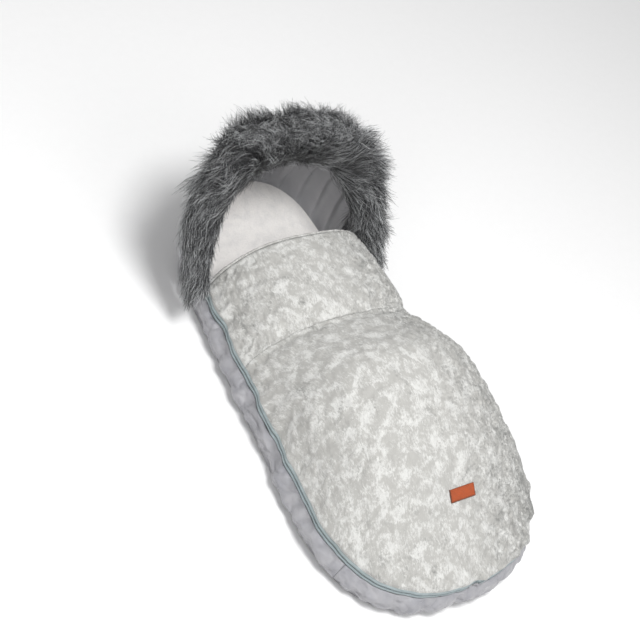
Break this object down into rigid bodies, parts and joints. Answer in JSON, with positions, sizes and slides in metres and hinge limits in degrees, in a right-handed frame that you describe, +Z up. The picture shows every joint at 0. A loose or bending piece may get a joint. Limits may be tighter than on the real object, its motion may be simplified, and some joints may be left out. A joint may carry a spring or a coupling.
{
  "type": "stroller footmuff",
  "caption": "Padded stroller footmuff: fleece-lined bag with a crowned zip-off cover that folds at its seam, a gathered hood with long-pile trim, harness slots and a bare leather label.",
  "frame": {"origin": "middle of the footmuff's whole base, on the surface that it lies on", "axes": "+Z up through the cover, +Y from the foot end to the head end, +X to the right when looking from the foot to the head"},
  "size_m": [0.46, 0.882, 0.3148],
  "materials": {
    "lilac_grey_cloth": "plain matt woven polyester, lilac grey",
    "marbled_print": "matt woven cloth, light grey with an off-white distressed marbling",
    "padding": "white polyester wadding, hidden",
    "fleece": "off-white short-pile fleece",
    "hood_lining": "light grey soft lining, gathered in pleats",
    "blue_grey_tape": "woven blue-grey tape",
    "zip_coil": "dark grey nylon coil",
    "nickel": "dull nickel-plated zinc",
    "tan_leather": "tan leather, burnished edge",
    "long_pile": "long-pile faux fur, dark roots and light tips"
  },
  "bodies": {
    "shell": {"back_fleece": "fleece", "back_outer": "lilac_grey_cloth", "back_padding": "padding", "fur_trim": "long_pile", "gusset_foot_lining": "fleece", "gusset_foot_outer": "lilac_grey_cloth", "gusset_foot_padding": "padding", "gusset_left_lining": "fleece", "gusset_left_outer": "lilac_grey_cloth", "gusset_left_padding": "padding", "gusset_right_lining": "fleece", "gusset_right_outer": "lilac_grey_cloth", "gusset_right_padding": "padding", "hood_elastic": "blue_grey_tape", "hood_hem": "lilac_grey_cloth", "hood_lining": "hood_lining", "hood_outer": "lilac_grey_cloth", "hood_padding": "padding", "hood_wing_left": "lilac_grey_cloth", "hood_wing_right": "lilac_grey_cloth", "slot_binding_crotch": "blue_grey_tape", "slot_binding_shoulder_left": "blue_grey_tape", "slot_binding_shoulder_right": "blue_grey_tape", "slot_binding_waist_left": "blue_grey_tape", "slot_binding_waist_right": "blue_grey_tape", "zip_left_bottom_stop": "nickel", "zip_left_gusset_stop": "nickel", "zip_left_gusset_tape": "blue_grey_tape", "zip_left_gusset_teeth": "zip_coil", "zip_meeting_tab": "lilac_grey_cloth", "zip_right_bottom_stop": "nickel", "zip_right_gusset_stop": "nickel", "zip_right_gusset_tape": "blue_grey_tape", "zip_right_gusset_teeth": "zip_coil"},
    "cover": {"cover_lower_lining": "fleece", "cover_lower_outer": "marbled_print", "cover_lower_padding": "padding", "leather_label": "tan_leather", "zip_left_cover_tape": "blue_grey_tape", "zip_left_cover_teeth": "zip_coil", "zip_right_cover_tape": "blue_grey_tape", "zip_right_cover_teeth": "zip_coil"},
    "flap": {"cover_flap_lining": "fleece", "cover_flap_outer": "marbled_print", "cover_flap_padding": "padding", "flap_edge_roll": "marbled_print", "zip_left_flap_stop": "nickel", "zip_left_flap_tape": "blue_grey_tape", "zip_left_flap_teeth": "zip_coil", "zip_right_flap_stop": "nickel", "zip_right_flap_tape": "blue_grey_tape", "zip_right_flap_teeth": "zip_coil"},
    "slider_left": {"slider_left": "nickel"},
    "slider_right": {"slider_right": "nickel"},
    "pull_left": {"pull_left": "nickel"},
    "pull_right": {"pull_right": "nickel"}
  },
  "joints": [
    {"name": "cover_open", "type": "hinge", "parent": "shell", "child": "cover", "pos_m": [0, -0.43134, 0.055], "axis": [1, 0, 0], "range_deg": [0, 105]},
    {"name": "flap_fold", "type": "hinge", "parent": "cover", "child": "flap", "pos_m": [0, 0.06096, 0.1696], "axis": [1, 0, 0], "range_deg": [0, 125]},
    {"name": "slider_left_travel", "type": "slide", "parent": "shell", "child": "slider_left", "axis": [-0.1021, -0.9948, 0], "range_m": [0, 0.42]},
    {"name": "pull_left_swing", "type": "hinge", "parent": "slider_left", "child": "pull_left", "pos_m": [-0.17564, 0.24355, 0.055], "axis": [0, 0, -1], "range_deg": [0, 170]},
    {"name": "slider_right_travel", "type": "slide", "parent": "shell", "child": "slider_right", "axis": [0.1021, -0.9948, 0], "range_m": [0, 0.42]},
    {"name": "pull_right_swing", "type": "hinge", "parent": "slider_right", "child": "pull_right", "pos_m": [0.17564, 0.24355, 0.055], "axis": [0, 0, 1], "range_deg": [0, 170]}
  ]
}
